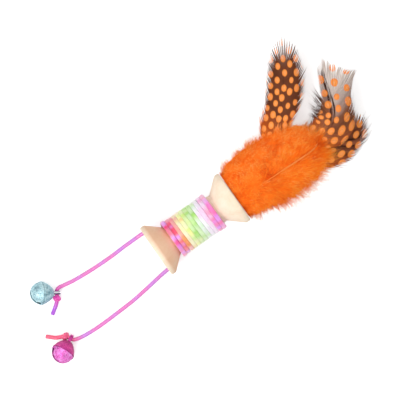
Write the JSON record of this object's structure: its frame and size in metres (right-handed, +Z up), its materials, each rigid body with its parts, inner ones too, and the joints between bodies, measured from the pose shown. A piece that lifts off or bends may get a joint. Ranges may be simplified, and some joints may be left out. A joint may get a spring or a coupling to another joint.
{
  "type": "cat spool toy",
  "caption": "Cat toy on a wound wooden thread spool: jingle bells trail from one end on satin strings, and downy spotted feathers are glued into the other end.",
  "frame": {"origin": "middle of the toy's box without its strings, on the table it lies on", "axes": "+X along the spool's axis towards the feathers, +Z up from the table"},
  "size_m": [0.2188, 0.0748, 0.0302],
  "materials": {
    "wood": "fine sanded, unvarnished",
    "winding_cord": "variegated satin cord, pink to orange to lime to pink",
    "string": "satin cord",
    "blue_bell": "glitter lacquer",
    "pink_bell": "glitter lacquer",
    "steel": "plain",
    "glue": "cloudy hot glue",
    "down": "dyed fluffy down",
    "vane": "dark barbs with orange spots"
  },
  "bodies": {
    "spool": {"spool": "wood", "winding": "winding_cord", "winding_tie": "winding_cord", "string_wrap": "winding_cord", "glue_plug": "glue", "blue_lead": "string", "pink_lead": "string", "left_down": "down", "right_down": "down", "short_down": "down"},
    "blue_string": {"blue_cord": "string", "blue_knot": "string", "blue_tail": "string"},
    "blue_bell": {"blue_cap": "blue_bell", "blue_bowl": "blue_bell", "blue_eye": "blue_bell"},
    "blue_pellet": {"blue_pellet": "steel"},
    "pink_string": {"pink_cord": "string", "pink_knot": "string", "pink_tail": "string"},
    "pink_bell": {"pink_cap": "pink_bell", "pink_bowl": "pink_bell", "pink_eye": "pink_bell"},
    "pink_pellet": {"pink_pellet": "steel"},
    "left_feather": {"left_vane": "vane"},
    "right_feather": {"right_vane": "vane"},
    "short_feather": {"short_vane": "vane"}
  },
  "joints": [
    {"name": "blue_string_swing", "type": "hinge", "parent": "spool", "child": "blue_string", "pos_m": [-0.03347, -0.00405, 0.00205], "axis": [0, 0, -1], "range_deg": [-5, 45]},
    {"name": "blue_bell_turn", "type": "hinge", "parent": "blue_string", "child": "blue_bell", "pos_m": [-0.08807, -0.00371, 0.00309], "axis": [0.5572, 0.8304, 0], "range_deg": [0, 70]},
    {"name": "blue_pellet_rattle", "type": "slide", "parent": "blue_bell", "child": "blue_pellet", "axis": [0, 0, 1], "range_m": [0, 0.0072]},
    {"name": "pink_string_swing", "type": "hinge", "parent": "spool", "child": "pink_string", "pos_m": [-0.03347, -0.02751, 0.00205], "axis": [0, 0, 1], "range_deg": [-5, 45]},
    {"name": "pink_bell_turn", "type": "hinge", "parent": "pink_string", "child": "pink_bell", "pos_m": [-0.09598, -0.02778, 0.00309], "axis": [-0.4408, 0.8976, 0], "range_deg": [0, 70]},
    {"name": "pink_pellet_rattle", "type": "slide", "parent": "pink_bell", "child": "pink_pellet", "axis": [0, 0, 1], "range_m": [0, 0.0072]},
    {"name": "left_bend", "type": "hinge", "parent": "spool", "child": "left_feather", "pos_m": [0.05828, 0.00104, 0.0139], "axis": [0.7071, -0.7071, 0], "range_deg": [-10, 35], "stiffness_Nm_per_rad": 0.001},
    {"name": "right_bend", "type": "hinge", "parent": "spool", "child": "right_feather", "pos_m": [0.07363, -0.0165, 0.0154], "axis": [0.571, -0.821, 0], "range_deg": [-6, 35], "stiffness_Nm_per_rad": 0.001},
    {"name": "short_bend", "type": "hinge", "parent": "spool", "child": "short_feather", "pos_m": [0.07088, -0.0255, 0.0108], "axis": [0.1903, -0.9817, 0], "range_deg": [-10, 6], "stiffness_Nm_per_rad": 0.001}
  ]
}
